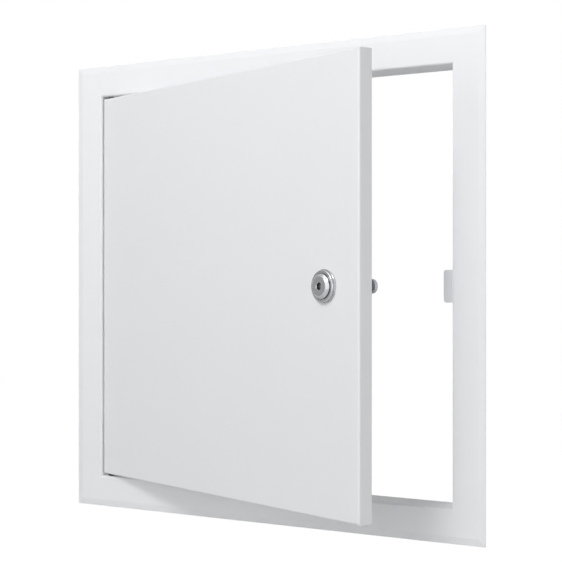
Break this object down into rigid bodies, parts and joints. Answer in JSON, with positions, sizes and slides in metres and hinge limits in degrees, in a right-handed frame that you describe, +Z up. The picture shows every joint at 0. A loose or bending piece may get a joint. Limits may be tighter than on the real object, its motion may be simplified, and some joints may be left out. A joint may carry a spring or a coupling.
{
  "type": "access panel",
  "caption": "Flush wall access panel: square flanged sheet-steel frame, folded door on hidden pivot pins, and a key-turned cam lock that catches behind a strike tab.",
  "frame": {"origin": "on the back face of the sill flange, where it meets the wall, half way along the sill and half way up its flange", "axes": "+Z up, +Y into the wall, the room on the -Y side, +X to the right as seen from the room, towards the lock"},
  "size_m": [0.356, 0.1243, 0.356],
  "materials": {
    "powder_coat": "satin white powder coat",
    "chrome_plate": "satin nickel-chrome plate",
    "zinc_plate": "bright zinc plate"
  },
  "bodies": {
    "frame": {"frame_head": "powder_coat", "frame_sill": "powder_coat", "hinge_jamb": "powder_coat", "lock_jamb": "powder_coat", "strike_bracket": "powder_coat"},
    "door": {"door_pan": "powder_coat", "upper_pivot_pin": "zinc_plate", "lower_pivot_pin": "zinc_plate", "lock_collar": "chrome_plate", "lock_housing": "chrome_plate", "lock_washer": "zinc_plate", "lock_nut": "zinc_plate"},
    "cam": {"lock_plug": "chrome_plate", "cam_lever": "zinc_plate", "cam_washer": "zinc_plate", "cam_nut": "zinc_plate"}
  },
  "joints": [
    {"name": "door_swing", "type": "hinge", "parent": "frame", "child": "door", "pos_m": [-0.1467, 0.003, 0.16575], "axis": [0, 0, -1], "range_deg": [-19.5, 80.5]},
    {"name": "lock_turn", "type": "hinge", "parent": "door", "child": "cam", "pos_m": [0.10226, -0.08993, 0.16575], "axis": [0.3338, 0.9426, 0], "range_deg": [0, 90]}
  ]
}
